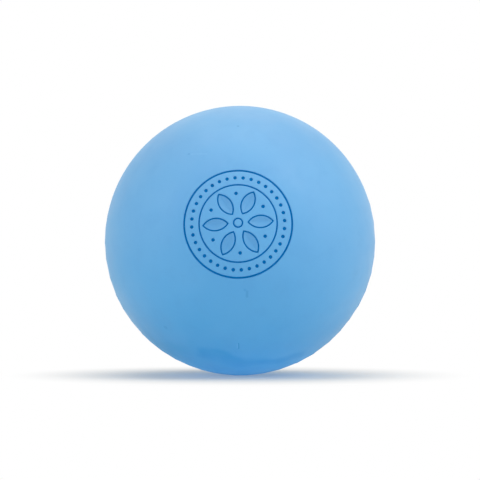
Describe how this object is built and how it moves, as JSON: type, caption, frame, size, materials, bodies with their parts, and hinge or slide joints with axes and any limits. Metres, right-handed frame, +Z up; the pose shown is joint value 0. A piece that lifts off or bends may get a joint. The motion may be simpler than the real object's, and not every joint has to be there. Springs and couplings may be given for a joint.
{
  "type": "lacrosse ball",
  "caption": "Light blue rubber lacrosse ball with a solid core, a moulded cover in two halves, a fine parting line and a round sunk stamp with dark ink in its lines.",
  "frame": {"origin": "centre of the ball", "axes": "+Z up; -Y towards the front, the stamped side; +X to the right as the stamp is seen. The mould axis, through the middle of the stamp, points to -Y, 7.3 degrees above it and 0.8 degrees to the left. The parting plane is square to the mould axis."},
  "size_m": [0.0638, 0.0634, 0.0634],
  "materials": {
    "cover_rubber": "smooth matte moulded rubber, light blue through its whole wall",
    "core_rubber": "dull dark rubber",
    "stamp_ink": "thin dried film of dark blue ink, satin"
  },
  "bodies": {
    "root": {"inner_core": "core_rubber", "front_cover": "cover_rubber", "rear_cover": "cover_rubber", "stamp_ink": "stamp_ink"}
  },
  "joints": []
}
